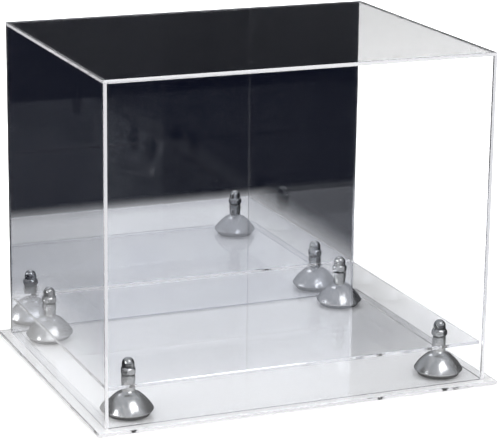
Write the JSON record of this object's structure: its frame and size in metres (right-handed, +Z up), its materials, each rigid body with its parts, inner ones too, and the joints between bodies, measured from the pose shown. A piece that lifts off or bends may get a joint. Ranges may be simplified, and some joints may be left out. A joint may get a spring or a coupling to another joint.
{
  "type": "football helmet display case",
  "caption": "Clear acrylic display case with a lift-off cover, mirrored back wall and a clear platform raised on silver risers above a flat base plate.",
  "frame": {"origin": "centre of the base plate's underside", "axes": "+X along the case's length, +Y from the open-view front towards the mirror, +Z up"},
  "size_m": [0.38, 0.297, 0.304],
  "materials": {
    "clear_acrylic": "polished clear sheet",
    "acrylic_mirror": "mirrored acrylic sheet",
    "satin_nickel": "satin nickel plate",
    "black_rubber": "matte",
    "plain_steel": "zinc-plated thread",
    "black_steel": "black oxide"
  },
  "bodies": {
    "base": {"base_plate": "clear_acrylic", "display_platform": "clear_acrylic", "riser_foot_front_left": "satin_nickel", "riser_pad_front_left": "black_rubber", "riser_stud_front_left": "plain_steel", "base_screw_front_left": "black_steel", "riser_foot_front_right": "satin_nickel", "riser_pad_front_right": "black_rubber", "riser_stud_front_right": "plain_steel", "base_screw_front_right": "black_steel", "riser_foot_rear_left": "satin_nickel", "riser_pad_rear_left": "black_rubber", "riser_stud_rear_left": "plain_steel", "base_screw_rear_left": "black_steel", "riser_foot_rear_right": "satin_nickel", "riser_pad_rear_right": "black_rubber", "riser_stud_rear_right": "plain_steel", "base_screw_rear_right": "black_steel"},
    "cover": {"front_panel": "clear_acrylic", "left_side_panel": "clear_acrylic", "right_side_panel": "clear_acrylic", "mirror_panel": "acrylic_mirror", "top_panel": "clear_acrylic"},
    "nut_front_left": {"cap_nut_front_left": "satin_nickel"},
    "nut_front_right": {"cap_nut_front_right": "satin_nickel"},
    "nut_rear_left": {"cap_nut_rear_left": "satin_nickel"},
    "nut_rear_right": {"cap_nut_rear_right": "satin_nickel"}
  },
  "joints": [
    {"name": "cover_lift", "type": "slide", "parent": "base", "child": "cover", "axis": [0, 0, 1], "range_m": [0, 0.31]},
    {"name": "nut_turn_front_left", "type": "hinge", "parent": "base", "child": "nut_front_left", "pos_m": [-0.1497, -0.1082, 0.04], "axis": [0, 0, 1], "range_deg": [0, 2140]},
    {"name": "nut_turn_front_right", "type": "hinge", "parent": "base", "child": "nut_front_right", "pos_m": [0.1497, -0.1082, 0.04], "axis": [0, 0, 1], "range_deg": [0, 2140]},
    {"name": "nut_turn_rear_left", "type": "hinge", "parent": "base", "child": "nut_rear_left", "pos_m": [-0.1497, 0.1082, 0.04], "axis": [0, 0, 1], "range_deg": [0, 2140]},
    {"name": "nut_turn_rear_right", "type": "hinge", "parent": "base", "child": "nut_rear_right", "pos_m": [0.1497, 0.1082, 0.04], "axis": [0, 0, 1], "range_deg": [0, 2140]}
  ]
}
